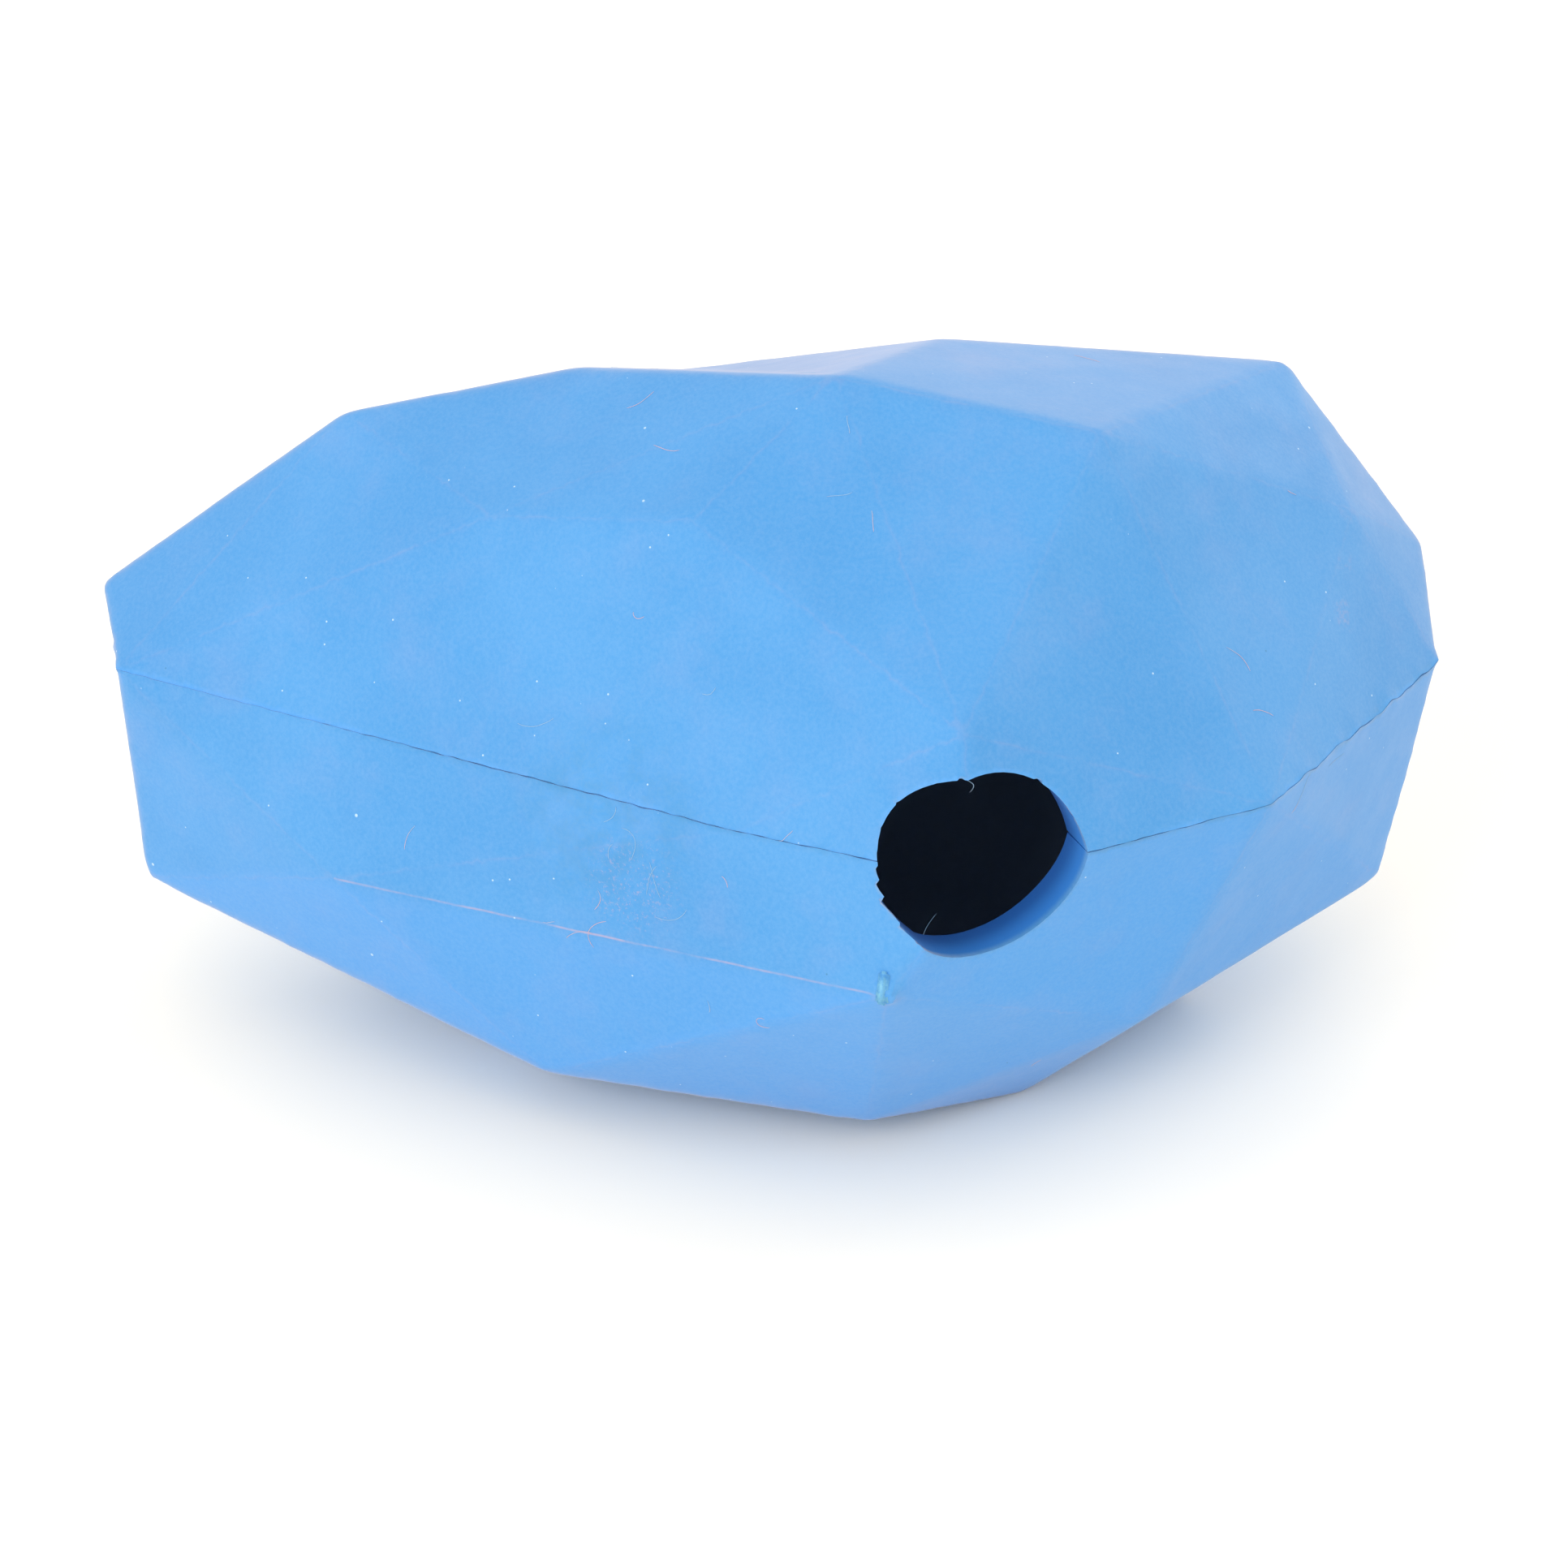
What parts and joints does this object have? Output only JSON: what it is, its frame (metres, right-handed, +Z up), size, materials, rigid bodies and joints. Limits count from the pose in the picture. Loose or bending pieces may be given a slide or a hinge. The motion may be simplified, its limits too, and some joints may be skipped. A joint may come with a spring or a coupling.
{
  "type": "treat dispensing dog toy",
  "caption": "Hollow faceted rubber dog toy of two bonded half shells, with a round treat hole bored through the parting line.",
  "frame": {"origin": "middle of the footprint, on the plane of the flat base the toy stands on", "axes": "+X along the length, towards the blunt end; -Y is the front, where the treat hole is; +Z up"},
  "size_m": [0.137, 0.0901, 0.076],
  "materials": {
    "blue_rubber": "matte moulded natural rubber, lightly dusty",
    "bond_cement": "dark cured rubber cement"
  },
  "bodies": {
    "root": {"upper_half_shell": "blue_rubber", "lower_half_shell": "blue_rubber", "bond_film": "bond_cement"}
  },
  "joints": []
}
